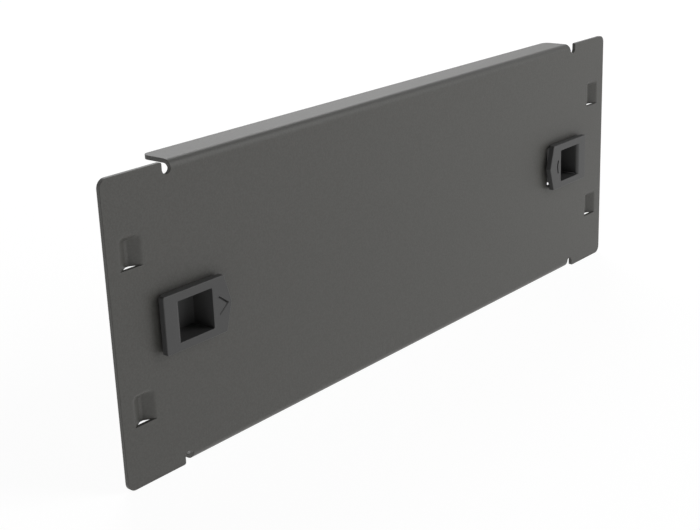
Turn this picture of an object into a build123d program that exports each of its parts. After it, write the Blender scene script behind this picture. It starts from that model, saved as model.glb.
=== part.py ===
from build123d import *
import math
import os

# A 10-inch, two-unit rack blanking panel that goes in without tools. It is one folded and powder
# coated steel sheet with four pressed hooks, and two moulded latches that slide in slots of it.
# Lengths are in millimetres. X runs across the panel from its middle, Y runs backwards from the
# middle of the panel's depth, and Z runs up from the bottom edge.

# The sheet
panel_width = 254.0
panel_height = 88.1
sheet = 1.2
ear_width = 21.4
ear_corner_radius = 2.6
flange_depth = 11.5
flange_corner_radius = 2.6
bend_radius = 1.4
relief_width = 3.1
relief_depth = 3.6
relief_corner_radius = 0.6

# The square holes of the rack that the hooks drop into, with the inset from each side edge
rack_hole_inset = 8.2
rack_hole_pitch = 44.45

# The pressed hooks, with the runs of their sloping walls and the inside radius of their rims
hook_drop = 4.0
hook_height = 8.6
hook_depth = 1.95
hook_floor_width = 1.1
hook_side_run = 3.2
hook_top_run = 1.1
hook_rim_radius = 0.8
hook_floor_radius = 0.5
hook_corner_radius = 0.8
lance_gap = 0.1
lance_overrun = 0.2

# The latches, counted inboard from the outer edge of the left latch's plate
latch_inset = 15.4
right_latch_drawn = 2.0
plate_length = 23.0
plate_point = 2.5
plate_height = 17.0
plate_thickness = 1.9
plate_standoff = 1.1
plate_corner_radius = 0.5
plate_edge_radius = 0.25
pocket_start = 5.7
pocket_length = 12.4
pocket_height = 12.0
pocket_depth = 8.0
pocket_corner_radius = 0.5
pocket_wall = 1.2
pocket_rim_radius = 1.2
runner_width = 0.7
runner_setback = 1.5

# What holds each latch behind the sheet
latch_travel = 5.5
slide_clearance = 0.2
slot_corner_radius = 1.0
catch_length = 7.0
catch_reach = 0.7
catch_land = 0.5
catch_slope = 1.5
rail_thickness = 2.1
bolt_reach = 9.0
bolt_height = 11.0
bolt_thickness = 1.8
bolt_bevel = 1.0
bolt_corner_radius = 1.2
bolt_rib_width = 1.2

# How far cutters run past what they cut, and the most of a face's width that a round corner of
# its outline or a rounding along its edge may take
over_cut = 1.0
corner_share = 0.45
edge_share = 0.4

# Places worked out from the sizes above
plate_proud = plate_standoff + plate_thickness
face_front = plate_proud - (plate_proud + flange_depth) / 2
face_back = face_front + sheet
outer_bend = bend_radius + sheet
flanged_width = panel_width - 2 * (ear_width + relief_width)
mid_height = panel_height / 2
rack_hole_spacing = panel_width - 2 * rack_hole_inset
hook_half_foot = hook_floor_width / 2 + hook_side_run
box_start = pocket_start - pocket_wall
box_length = pocket_length + 2 * pocket_wall
box_height = pocket_height + 2 * pocket_wall
box_middle = box_start + box_length / 2
box_back = pocket_depth - plate_proud + pocket_wall
slot_length = box_length + latch_travel + 2 * slide_clearance
slot_height = box_height + 2 * slide_clearance
bolt_front = sheet + rail_thickness


def block(x, y, z):
    """A box from three (low, high) pairs."""
    size = [high - low for low, high in (x, y, z)]
    middle = [(low + high) / 2 for low, high in (x, y, z)]
    return Pos(*middle) * Box(*size)


def rounded(x, z, radius):
    """A flat upright rectangle from two (low, high) pairs, with round corners."""
    width, height = x[1] - x[0], z[1] - z[0]
    room = corner_share * min(width, height)
    return Pos(sum(x) / 2, sum(z) / 2) * RectangleRounded(width, height, min(radius, room))


def across(y):
    """The upright plane at depth y, with its own x to the right and its own y upwards."""
    return Plane.XZ.offset(-y)


def backwards(sketch, y, depth):
    """A flat shape from the upright plane at depth y, drawn out backwards."""
    return extrude(across(y) * sketch, amount=-depth)


def through_sheet(sketch):
    """A cutter of a flat shape that goes right through the face."""
    return backwards(sketch, face_front - over_cut, sheet + 2 * over_cut)


def folded_blank():
    """The face with its two ears, and the flanges folded back along the top and bottom."""
    face = backwards(Pos(0, mid_height) * Rectangle(panel_width, panel_height), face_front, sheet)
    face = fillet(face.edges().filter_by(Axis.Y), ear_corner_radius)
    for low in (0, panel_height - outer_bend):
        edge_strip = Pos(0, low + outer_bend / 2) * Rectangle(flanged_width, outer_bend)
        face -= through_sheet(edge_strip)
    return face + flanged_channel()


def flanged_channel():
    """The middle of the panel as one bent section: bottom flange, face and top flange."""
    outer = Pos(flange_depth / 2, mid_height) * Rectangle(flange_depth, panel_height)
    outer = fillet(outer.vertices().group_by(Axis.X)[0], outer_bend)
    inner_depth = flange_depth - sheet
    inner_height = panel_height - 2 * sheet
    inner = Pos(sheet + inner_depth / 2, mid_height) * Rectangle(inner_depth, inner_height)
    inner = fillet(inner.vertices().group_by(Axis.X)[0], bend_radius)
    section = Plane.YZ * Pos(face_front, 0) * (outer - inner)
    channel = extrude(section, amount=flanged_width / 2, both=True)
    back_corners = channel.edges().filter_by(Axis.Z).group_by(Axis.Y)[-1]
    return fillet(back_corners, flange_corner_radius)


def bend_reliefs():
    """Four round-ended notches that part the ears from the folded flanges."""
    cuts = []
    straight = relief_depth - relief_width / 2
    for side in (-1, 1):
        x = side * (flanged_width + relief_width) / 2
        for edge, inward in ((0, 1), (panel_height, -1)):
            end = edge + inward * straight
            notch = Pos(x, end) * Circle(relief_width / 2)
            notch += Pos(x, (edge + end) / 2) * Rectangle(relief_width, straight)
            cuts.append(through_sheet(notch))
    return cuts


def spread(distance, run):
    """How far the foot of a hook's wall moves out when its skin is offset by a distance.

    It is the distance times the tangent of half the wall's slope, and it is also how far a
    rounded rim of that radius reaches past the foot.
    """
    return distance * math.tan(math.atan2(hook_depth, run) / 2)


def hook_press(rise):
    """The shape that presses a hook's front skin, or its back skin when rise is the sheet.

    It fills everything in front of that skin: a slab up to the flat of the sheet, and a tapered
    boss that goes on backwards, with its foot and its floor rounded. The hook's middle is at
    x 0, its cut edge at z 0 and the front of the sheet at y 0. The boss runs on below the cut
    edge, so that its section there is the same as further up.
    """
    half_floor = hook_floor_width / 2 + spread(rise, hook_side_run)
    half_foot = half_floor + hook_side_run
    foot_top = hook_height + spread(rise, hook_top_run)
    foot_low = -hook_height
    corner = hook_corner_radius + spread(rise, hook_side_run)
    foot = rounded((-half_foot, half_foot), (foot_low, foot_top), corner)
    floor_heights = (foot_low + hook_side_run, foot_top - hook_top_run)
    floor = rounded((-half_floor, half_floor), floor_heights, corner)
    boss = loft([across(rise) * foot, across(rise + hook_depth) * floor], ruled=True)
    side, top = hook_extent()
    slab = block((-side, side), (rise - 2 * sheet, rise), (foot_low - side, top))
    form = slab + boss
    foot_edges = [
        edge
        for edge in form.edges().filter_by_position(Axis.Y, rise - sheet / 2, rise + hook_depth / 2)
        if max(abs(edge.bounding_box().min.X), abs(edge.bounding_box().max.X)) < side - over_cut / 2
    ]
    form = fillet(foot_edges, hook_rim_radius + sheet - rise)
    floor_edges = form.edges().group_by(Axis.Y)[-1]
    return fillet(floor_edges, min(hook_floor_radius + rise, edge_share * 2 * half_floor))


def hook_extent():
    """How far sideways and upwards a hook reaches, with its rounded rim and a margin."""
    rim = hook_rim_radius + sheet
    side = hook_half_foot + spread(rim, hook_side_run) + over_cut
    top = hook_height + spread(rim, hook_top_run) + over_cut
    return side, top


def hook_window():
    """The part of the sheet that a hook takes the place of, from its cut edge upwards."""
    side, top = hook_extent()
    return block((-side, side), (-sheet, 2 * sheet + hook_depth), (lance_gap, top))


def hook():
    """One hook: the sheet pressed back into a hollow that its lower edge is sheared free of."""
    return (hook_press(sheet) - hook_press(0)) & hook_window()


def lance():
    """The slit under a hook."""
    half = hook_half_foot + lance_overrun
    return block((-half, half), (-sheet, 2 * sheet), (0, lance_gap))


def hook_places():
    """Where the four hooks go: the middle of each one's cut edge."""
    for side in (-1, 1):
        for row in (-1, 1):
            z = mid_height + row * rack_hole_pitch / 2 - hook_drop
            yield Pos(side * rack_hole_spacing / 2, face_front, z)


def latch_slot():
    """The slot of the left latch, as a cutter."""
    start = latch_inset + box_start - slide_clearance - panel_width / 2
    low = mid_height - slot_height / 2
    outline = rounded((start, start + slot_length), (low, low + slot_height), slot_corner_radius)
    return through_sheet(outline)


def panel_sheet():
    """The whole steel sheet."""
    part = folded_blank()
    for cut in bend_reliefs():
        part -= cut
    inner_corners = part.edges().filter_by(Axis.Y).filter_by(is_ear_inner_corner)
    part = fillet(inner_corners, relief_corner_radius)
    slot = latch_slot()
    part -= slot
    part -= mirror(slot, about=Plane.YZ)
    window, slit, pressed = hook_window(), lance(), hook()
    for place in hook_places():
        part -= place * window
        part -= place * slit
        part += place * pressed
    return part


def is_ear_inner_corner(edge):
    """True for the four corners of the ears next to the reliefs."""
    x, z = abs(edge.center().X), edge.center().Z
    beside_relief = math.isclose(x, panel_width / 2 - ear_width)
    at_edge = math.isclose(z, 0, abs_tol=1e-6) or math.isclose(z, panel_height)
    return beside_relief and at_edge


def latch_plate():
    """The front plate, square outboard and pointed inboard, with softened corners and edges."""
    half = plate_height / 2
    tip = plate_length + plate_point
    corners = [(0, -half), (plate_length, -half), (tip, 0), (plate_length, half), (0, half)]
    outline = make_face(Polyline(*corners, close=True))
    outline = fillet(outline.vertices(), plate_corner_radius)
    plate = backwards(outline, -plate_proud, plate_thickness)
    return fillet(plate.edges().group_by(Axis.Y)[0], plate_edge_radius)


def latch_box():
    """The walls and floor of the finger pocket, which run through the sheet's slot."""
    sides = (box_start, box_start + box_length)
    outline = rounded(sides, (-box_height / 2, box_height / 2), slot_corner_radius)
    return backwards(outline, -plate_standoff, plate_standoff + box_back)


def finger_pocket():
    """The hollow that a finger tip goes into, with its outboard rim rounded over."""
    sides = (pocket_start, pocket_start + pocket_length)
    outline = rounded(sides, (-pocket_height / 2, pocket_height / 2), pocket_corner_radius)
    hollow = backwards(outline, -plate_proud, pocket_depth)
    reach = pocket_rim_radius + pocket_corner_radius
    corner = (pocket_start - pocket_rim_radius, -plate_proud)
    square = Pos(*corner) * Rectangle(reach, pocket_rim_radius, align=(Align.MIN, Align.MIN))
    rim = square - Pos(corner[0], corner[1] + pocket_rim_radius) * Circle(pocket_rim_radius)
    return hollow + extrude(rim, amount=pocket_height / 2, both=True)


def runners():
    """Two ribs behind the plate that slide on the face, one above and one below the slot."""
    ribs = []
    length = (runner_setback, plate_length - runner_setback)
    depth = (-plate_standoff, -slide_clearance / 2)
    inner = slot_height / 2 + slide_clearance
    outer = inner + runner_width
    for low, high in ((inner, outer), (-outer, -inner)):
        ribs.append(block(length, depth, (low, high)))
    return ribs


def catches():
    """Two wedges, above and below, that snap through the slot and keep the latch in it."""
    front = sheet + slide_clearance
    land = front + catch_land
    back = land + catch_slope
    root = box_height / 2
    tip = slot_height / 2 + catch_reach
    inside = root - pocket_wall / 2
    corners = [(front, inside), (front, tip), (land, tip), (back, root), (back, inside)]
    profile = make_face(Polyline(*corners, close=True))
    wedge = extrude(Plane.YZ.offset(box_middle) * profile, amount=catch_length / 2, both=True)
    return [wedge, mirror(wedge, about=Plane.XY)]


def bolt():
    """The tongue that slides behind the rack's rail, with a bevelled nose and two ribs."""
    back = bolt_front + bolt_thickness
    nose = box_start - bolt_reach
    shoulder = nose + bolt_bevel
    root = box_start + pocket_wall / 2
    bevel_end = bolt_front + bolt_bevel
    corners = [(root, bolt_front), (shoulder, bolt_front), (nose, bevel_end), (nose, back), (root, back)]
    profile = make_face(Polyline(*corners, close=True))
    tongue = extrude(profile, amount=bolt_height / 2, both=True)
    nose_corners = tongue.edges().filter_by(Axis.Y).group_by(Axis.X)[0]
    tongue = fillet(nose_corners, bolt_corner_radius)
    rib = make_face(Polyline((root, back), (shoulder, back), (root, box_back), close=True))
    for middle in (-bolt_height / 4, bolt_height / 4):
        tongue += Pos(0, 0, middle) * extrude(rib, amount=bolt_rib_width / 2, both=True)
    return tongue


def latch():
    """One moulded latch, with x inboard from its outer edge, y from the face, z from its middle."""
    part = latch_plate() + latch_box() + bolt()
    for piece in runners() + catches():
        part += piece
    return part - finger_pocket()


def left_latch():
    """The left latch, pushed outboard behind the rail."""
    return Pos(latch_inset - panel_width / 2, face_front, mid_height) * latch()


def right_latch():
    """The right latch, the left one mirrored and drawn a little inboard."""
    return Pos(-right_latch_drawn, 0, 0) * mirror(left_latch(), about=Plane.YZ)


def write_parts():
    """One file for each piece, named after the function that makes it."""
    os.makedirs("parts", exist_ok=True)
    for make in (panel_sheet, left_latch, right_latch):
        export_step(make(), f"parts/{make.__name__}.step")


write_parts()
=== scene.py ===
"""The looks of a rack blanking panel: a powder coated steel sheet with two moulded latches."""

import math

import bmesh
import bpy
import numpy as np
from mathutils import Matrix, Vector


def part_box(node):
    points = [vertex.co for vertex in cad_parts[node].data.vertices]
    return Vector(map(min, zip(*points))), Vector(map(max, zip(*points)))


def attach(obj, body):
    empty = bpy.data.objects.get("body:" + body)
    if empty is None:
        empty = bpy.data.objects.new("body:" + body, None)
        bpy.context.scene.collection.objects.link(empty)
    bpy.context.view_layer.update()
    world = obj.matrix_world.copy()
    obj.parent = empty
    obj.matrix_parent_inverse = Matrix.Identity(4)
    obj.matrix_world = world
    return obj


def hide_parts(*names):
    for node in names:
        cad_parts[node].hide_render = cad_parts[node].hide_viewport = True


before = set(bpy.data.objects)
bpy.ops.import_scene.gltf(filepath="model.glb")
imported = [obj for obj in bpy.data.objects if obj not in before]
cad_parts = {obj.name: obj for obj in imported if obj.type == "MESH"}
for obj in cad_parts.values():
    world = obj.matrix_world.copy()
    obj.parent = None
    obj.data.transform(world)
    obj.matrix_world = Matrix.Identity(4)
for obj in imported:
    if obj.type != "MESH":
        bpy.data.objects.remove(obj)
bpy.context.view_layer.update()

MM = 0.001

# Where the photograph was taken from, in millimetres and degrees
CAMERA_PLACE = (-335.3527, -262.2824, 172.7035)
CAMERA_HEADING = 49.7529
CAMERA_DOWN = 18.5867
CAMERA_ROLL = -2.1722
CAMERA_LENS = 68.7848
SENSOR_WIDTH = 36.0

# The radius that the shader gives every corner, and the rays that it spends on it
SHEET_EDGE = 0.35 * MM
LATCH_EDGE = 0.15 * MM
EDGE_SAMPLES = 8

# Corners of more than this angle are shaded sharp
SHARP_ANGLE = math.radians(30)

# Points as close as this are one point, and faces as level as this are one flat face
SAME_PLACE = 0.001 * MM
SAME_PLANE = math.radians(0.1)

# From a latch plate's outer edge to its rounded point
PLATE_SPAN = 25.4788 * MM

# Each plate's chevron: how far inboard of the plate's outer edge its two ends lie, how far its
# tip lies, half its height about the plate's middle, and the width of its groove
LEFT_CHEVRON = (20.4 * MM, 23.8 * MM, 2.65 * MM, 0.6 * MM)
RIGHT_CHEVRON = (19.9 * MM, 20.5 * MM, 2.5 * MM, 0.75 * MM)
CHEVRON_DEPTH = 0.9 * MM

# The powder coat: two tones, a fine grain and a slower swell under it, with their bump depths
COAT_DARK = (0.053, 0.052, 0.0475)
COAT_LIGHT = (0.063, 0.062, 0.0575)
COAT_GRAIN = 0.55 * MM
COAT_GRAIN_DEPTH = 0.024 * MM
COAT_SWELL = 2.4 * MM
COAT_SWELL_DEPTH = 0.02 * MM
COAT_ROUGHNESS = 0.45
COAT_SPECULAR = 0.35

# The latches' plastic: two tones and a very fine grain
PLASTIC_DARK = (0.047, 0.047, 0.047)
PLASTIC_LIGHT = (0.0525, 0.0525, 0.0525)
PLASTIC_GRAIN = 0.22 * MM
PLASTIC_GRAIN_DEPTH = 0.006 * MM
PLASTIC_ROUGHNESS = 0.42
PLASTIC_SPECULAR = 0.3

# The part of a noise's range that the two tones are spread over
TONE_LOW = 0.35
TONE_HIGH = 0.65

# The colour of the floor's and the world's light
WHITE = (1.0, 1.0, 1.0, 1.0)

# The floor: its half width in metres, its grey, the light that it gives off onto the object, and
# the white that the camera and reflections see of it, with that white's share
FLOOR_REACH = 6.0
FLOOR_GREY = 0.8
FLOOR_ROUGHNESS = 0.9
FLOOR_LIGHT = 1.08
FLOOR_WHITE = 0.9
FLOOR_WHITE_SHARE = 0.8

# The world: its light on the object, and the white that the camera and reflections see of it
WORLD_LIGHT = 0.05
WORLD_WHITE = 1.0

# The soft lamps: name, place in metres, side in metres and power in watts
LAMP_TARGET = (0, 0, 0.05)
LAMPS = (
    ("front_right_high", (0.9, -1.1, 1.0), 0.9, 9.0),
    ("front_right", (0.9, -1.3, 0.3), 0.8, 3.0),
    ("back_right", (0.9, 0.9, 1.0), 0.8, 6.3),
)

# The camera's nearest and farthest sight, in metres
CLIP_NEAR = 0.01
CLIP_FAR = 100.0


def camera_from_photo():
    """The camera: its heading turns from +Y towards +X, then it looks down and rolls."""
    heading, down, roll = (math.radians(v) for v in (CAMERA_HEADING, CAMERA_DOWN, CAMERA_ROLL))
    forward = np.array([
        math.sin(heading) * math.cos(down),
        math.cos(heading) * math.cos(down),
        -math.sin(down),
    ])
    right = np.array([math.cos(heading), -math.sin(heading), 0.0])
    up = np.cross(right, forward)
    rolled_right = math.cos(roll) * right + math.sin(roll) * up
    rolled_up = math.cos(roll) * up - math.sin(roll) * right
    data = bpy.data.cameras.new("photo_camera")
    data.sensor_width = SENSOR_WIDTH
    data.lens = CAMERA_LENS
    data.clip_start = CLIP_NEAR
    data.clip_end = CLIP_FAR
    camera = bpy.data.objects.new("photo_camera", data)
    turn = Matrix(np.column_stack([rolled_right, rolled_up, -forward]).tolist())
    camera.matrix_world = Matrix.Translation(Vector(CAMERA_PLACE) * MM) @ turn.to_4x4()
    bpy.context.scene.collection.objects.link(camera)
    bpy.context.scene.camera = camera


def merged_copy(node, name):
    """A copy of a CAD node as one closed skin, with its flat faces whole again."""
    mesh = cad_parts[node].data.copy()
    mesh.name = name
    skin = bmesh.new()
    skin.from_mesh(mesh)
    bmesh.ops.remove_doubles(skin, verts=skin.verts, dist=SAME_PLACE)
    bmesh.ops.dissolve_limit(
        skin,
        angle_limit=SAME_PLANE,
        verts=skin.verts,
        edges=skin.edges,
        use_dissolve_boundaries=False,
    )
    skin.to_mesh(mesh)
    skin.free()
    mesh.materials.clear()
    piece = bpy.data.objects.new(name, mesh)
    bpy.context.scene.collection.objects.link(piece)
    return piece


def shade(piece):
    """Shades the piece's curved faces smooth, its flat faces flat and its corners sharp."""
    piece.data.shade_smooth()
    piece.data.set_sharp_from_angle(angle=SHARP_ANGLE)
    level = piece.modifiers.new("flat_faces", "WEIGHTED_NORMAL")
    level.mode = "FACE_AREA"
    level.weight = 100
    level.keep_sharp = True


def new_material(name):
    """An empty node material with its principled shader and object coordinates."""
    material = bpy.data.materials.new(name)
    material.use_nodes = True
    nodes, links = material.node_tree.nodes, material.node_tree.links
    shader = nodes["Principled BSDF"]
    coordinates = nodes.new("ShaderNodeTexCoord")
    return material, nodes, links, shader, coordinates.outputs["Object"]


def noise(nodes, links, vector, size):
    """Noise of a few octaves, whose largest lumps are about size across, in metres."""
    texture = nodes.new("ShaderNodeTexNoise")
    texture.inputs["Scale"].default_value = 1.0 / size
    texture.inputs["Detail"].default_value = 2.0
    texture.inputs["Roughness"].default_value = 0.5
    links.new(vector, texture.inputs["Vector"])
    return texture.outputs["Fac"]


def bump(nodes, links, height, depth, below):
    """A bump of that depth in metres, on top of the normal below it."""
    node = nodes.new("ShaderNodeBump")
    node.inputs["Distance"].default_value = depth
    node.inputs["Strength"].default_value = 1.0
    links.new(height, node.inputs["Height"])
    links.new(below, node.inputs["Normal"])
    return node.outputs["Normal"]


def rounded_edges(nodes, radius):
    """The surface's own normal, turned along every corner as if it had that radius."""
    node = nodes.new("ShaderNodeBevel")
    node.samples = EDGE_SAMPLES
    node.inputs["Radius"].default_value = radius
    return node.outputs["Normal"]


def tone(nodes, links, factor, dark, light):
    """A colour between two tones, spread over the middle of the factor's range."""
    ramp = nodes.new("ShaderNodeValToRGB")
    ramp.color_ramp.elements[0].position = TONE_LOW
    ramp.color_ramp.elements[0].color = (*dark, 1.0)
    ramp.color_ramp.elements[1].position = TONE_HIGH
    ramp.color_ramp.elements[1].color = (*light, 1.0)
    links.new(factor, ramp.inputs["Fac"])
    return ramp.outputs["Color"]


def powder_coat():
    """Dark grey powder coat with a fine texture."""
    material, nodes, links, shader, place = new_material("powder_coat")
    grain = noise(nodes, links, place, COAT_GRAIN)
    swell = noise(nodes, links, place, COAT_SWELL)
    colour = tone(nodes, links, grain, COAT_DARK, COAT_LIGHT)
    links.new(colour, shader.inputs["Base Color"])
    edges = rounded_edges(nodes, SHEET_EDGE)
    lumps = bump(nodes, links, swell, COAT_SWELL_DEPTH, edges)
    links.new(bump(nodes, links, grain, COAT_GRAIN_DEPTH, lumps), shader.inputs["Normal"])
    shader.inputs["Roughness"].default_value = COAT_ROUGHNESS
    shader.inputs["Specular IOR Level"].default_value = COAT_SPECULAR
    return material


def moulded_plastic():
    """Dark moulded plastic with a fine spark-eroded surface."""
    material, nodes, links, shader, place = new_material("moulded_plastic")
    grain = noise(nodes, links, place, PLASTIC_GRAIN)
    colour = tone(nodes, links, grain, PLASTIC_DARK, PLASTIC_LIGHT)
    links.new(colour, shader.inputs["Base Color"])
    edges = rounded_edges(nodes, LATCH_EDGE)
    links.new(bump(nodes, links, grain, PLASTIC_GRAIN_DEPTH, edges), shader.inputs["Normal"])
    shader.inputs["Roughness"].default_value = PLASTIC_ROUGHNESS
    shader.inputs["Specular IOR Level"].default_value = PLASTIC_SPECULAR
    return material


def chevron_cutter(name, chevron, outer_edge, inboard, front, middle):
    """A closed cutter of rectangular section along the chevron's two strokes.

    It is a profile carried along a path. The path runs end, tip, end. Each ring of the cutter is
    a rectangle at one point of the path: half the groove's width to either side of the path, and
    the groove's depth in front of the plate's face and behind it. At the ends a ring lies square
    to its stroke, and at the tip it lies on the mitre of the two strokes.
    """
    start, tip, half_height, width = chevron
    run = tip - start
    stroke = math.hypot(run, half_height)
    path = np.array([
        [outer_edge + inboard * start, middle + half_height],
        [outer_edge + inboard * tip, middle],
        [outer_edge + inboard * start, middle - half_height],
    ])
    across = np.array([
        [inboard * half_height / stroke, run / stroke],
        [inboard * stroke / half_height, 0.0],
        [inboard * half_height / stroke, -run / stroke],
    ])
    sideways = np.array([-1, 1, 1, -1])
    depth = np.array([-CHEVRON_DEPTH, -CHEVRON_DEPTH, CHEVRON_DEPTH, CHEVRON_DEPTH])
    rings, corners = len(path), len(sideways)
    verts = np.empty((rings, corners, 3))
    verts[:, :, 0::2] = path[:, None, :] + across[:, None, :] * sideways[None, :, None] * width / 2
    verts[:, :, 1] = front + depth
    ring, corner = np.meshgrid(np.arange(rings - 1), np.arange(corners), indexing="ij")
    near = corners * ring + corner
    far = corners * ring + (corner + 1) % corners
    walls = np.stack([near, near + corners, far + corners, far], axis=-1).reshape(-1, 4)
    last = corners * (rings - 1)
    ends = [[0, 1, 2, 3], [last + 3, last + 2, last + 1, last]]
    mesh = bpy.data.meshes.new(name)
    mesh.from_pydata(verts.reshape(-1, 3).tolist(), [], ends + walls.tolist())
    skin = bmesh.new()
    skin.from_mesh(mesh)
    bmesh.ops.recalc_face_normals(skin, faces=skin.faces)
    skin.to_mesh(mesh)
    skin.free()
    cutter = bpy.data.objects.new(name, mesh)
    bpy.context.scene.collection.objects.link(cutter)
    return cutter


def cut(piece, cutter):
    """Takes the cutter's shape out of the piece, for good."""
    difference = piece.modifiers.new("cut", "BOOLEAN")
    difference.object = cutter
    difference.solver = "EXACT"
    bpy.context.view_layer.update()
    seen = piece.evaluated_get(bpy.context.evaluated_depsgraph_get())
    result = bpy.data.meshes.new_from_object(seen)
    piece.modifiers.clear()
    piece.data = result
    bpy.data.objects.remove(cutter)


def dress_sheet(material):
    """The folded steel sheet in its powder coat."""
    piece = merged_copy("panel_sheet", "sheet")
    shade(piece)
    piece.data.materials.append(material)
    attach(piece, "panel")
    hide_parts("panel_sheet")


def dress_latch(node, name, body, inboard, chevron, material):
    """A latch with the chevron cut into its plate; inboard is +1 or -1 along X."""
    low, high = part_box(node)
    piece = merged_copy(node, name)
    tip = high[0] if inboard > 0 else low[0]
    outer_edge = tip - inboard * PLATE_SPAN
    front = low[1]
    middle = (low[2] + high[2]) / 2
    cut(piece, chevron_cutter(name + "_chevron", chevron, outer_edge, inboard, front, middle))
    shade(piece)
    piece.data.materials.append(material)
    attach(piece, body)
    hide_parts(node)


def white_to_camera(nodes, links, plain, white, share):
    """Mixes in white for camera, glossy and transmission rays, by that share."""
    path = nodes.new("ShaderNodeLightPath")
    most = nodes.new("ShaderNodeMath")
    most.operation = "MAXIMUM"
    links.new(path.outputs["Is Camera Ray"], most.inputs[0])
    links.new(path.outputs["Is Glossy Ray"], most.inputs[1])
    any_seen = nodes.new("ShaderNodeMath")
    any_seen.operation = "MAXIMUM"
    links.new(most.outputs[0], any_seen.inputs[0])
    links.new(path.outputs["Is Transmission Ray"], any_seen.inputs[1])
    scaled = nodes.new("ShaderNodeMath")
    scaled.operation = "MULTIPLY"
    scaled.inputs[1].default_value = share
    links.new(any_seen.outputs[0], scaled.inputs[0])
    mix = nodes.new("ShaderNodeMixShader")
    links.new(scaled.outputs[0], mix.inputs["Fac"])
    links.new(plain, mix.inputs[1])
    links.new(white, mix.inputs[2])
    return mix.outputs["Shader"]


def studio_floor():
    """A plain pale floor that reads white to the camera and keeps a faint shadow.

    It also gives off light of its own, FLOOR_LIGHT, which reaches the object from below, as the
    light of a brightly lit white floor would.
    """
    mesh = bpy.data.meshes.new("floor")
    corners = np.array([[-1, -1, 0], [1, -1, 0], [1, 1, 0], [-1, 1, 0]]) * FLOOR_REACH
    mesh.from_pydata(corners.tolist(), [], [(0, 1, 2, 3)])
    floor = bpy.data.objects.new("floor", mesh)
    bpy.context.scene.collection.objects.link(floor)
    material = bpy.data.materials.new("studio_floor")
    material.use_nodes = True
    nodes, links = material.node_tree.nodes, material.node_tree.links
    shader = nodes["Principled BSDF"]
    shader.inputs["Base Color"].default_value = (FLOOR_GREY, FLOOR_GREY, FLOOR_GREY, 1.0)
    shader.inputs["Roughness"].default_value = FLOOR_ROUGHNESS
    shader.inputs["Emission Color"].default_value = WHITE
    shader.inputs["Emission Strength"].default_value = FLOOR_LIGHT
    glow = nodes.new("ShaderNodeEmission")
    glow.inputs["Strength"].default_value = FLOOR_WHITE
    lit, white = shader.outputs["BSDF"], glow.outputs["Emission"]
    mixed = white_to_camera(nodes, links, lit, white, FLOOR_WHITE_SHARE)
    links.new(mixed, nodes["Material Output"].inputs["Surface"])
    mesh.materials.append(material)


def studio_world():
    """White all round to the camera and in reflections, and very little light on the object."""
    world = bpy.data.worlds.new("studio")
    bpy.context.scene.world = world
    world.use_nodes = True
    nodes, links = world.node_tree.nodes, world.node_tree.links
    light = nodes["Background"]
    light.inputs["Color"].default_value = WHITE
    light.inputs["Strength"].default_value = WORLD_LIGHT
    seen = nodes.new("ShaderNodeBackground")
    seen.inputs["Color"].default_value = WHITE
    seen.inputs["Strength"].default_value = WORLD_WHITE
    plain, white = light.outputs["Background"], seen.outputs["Background"]
    mixed = white_to_camera(nodes, links, plain, white, 1.0)
    links.new(mixed, nodes["World Output"].inputs["Surface"])


def softbox(name, place, side, power):
    """A square soft lamp with that side, in metres and watts, that points at the object."""
    data = bpy.data.lights.new(name, "AREA")
    data.shape = "RECTANGLE"
    data.size = side
    data.size_y = side
    data.energy = power
    lamp = bpy.data.objects.new(name, data)
    aim = Vector(LAMP_TARGET) - Vector(place)
    lamp.rotation_euler = aim.to_track_quat("-Z", "Y").to_euler()
    lamp.location = place
    lamp.visible_camera = False
    bpy.context.scene.collection.objects.link(lamp)


camera_from_photo()
coat = powder_coat()
plastic = moulded_plastic()
dress_sheet(coat)
dress_latch("left_latch", "latch_left", "left_slider", 1, LEFT_CHEVRON, plastic)
dress_latch("right_latch", "latch_right", "right_slider", -1, RIGHT_CHEVRON, plastic)
studio_floor()
studio_world()
for lamp_values in LAMPS:
    softbox(*lamp_values)
bpy.context.scene.view_settings.view_transform = "Standard"
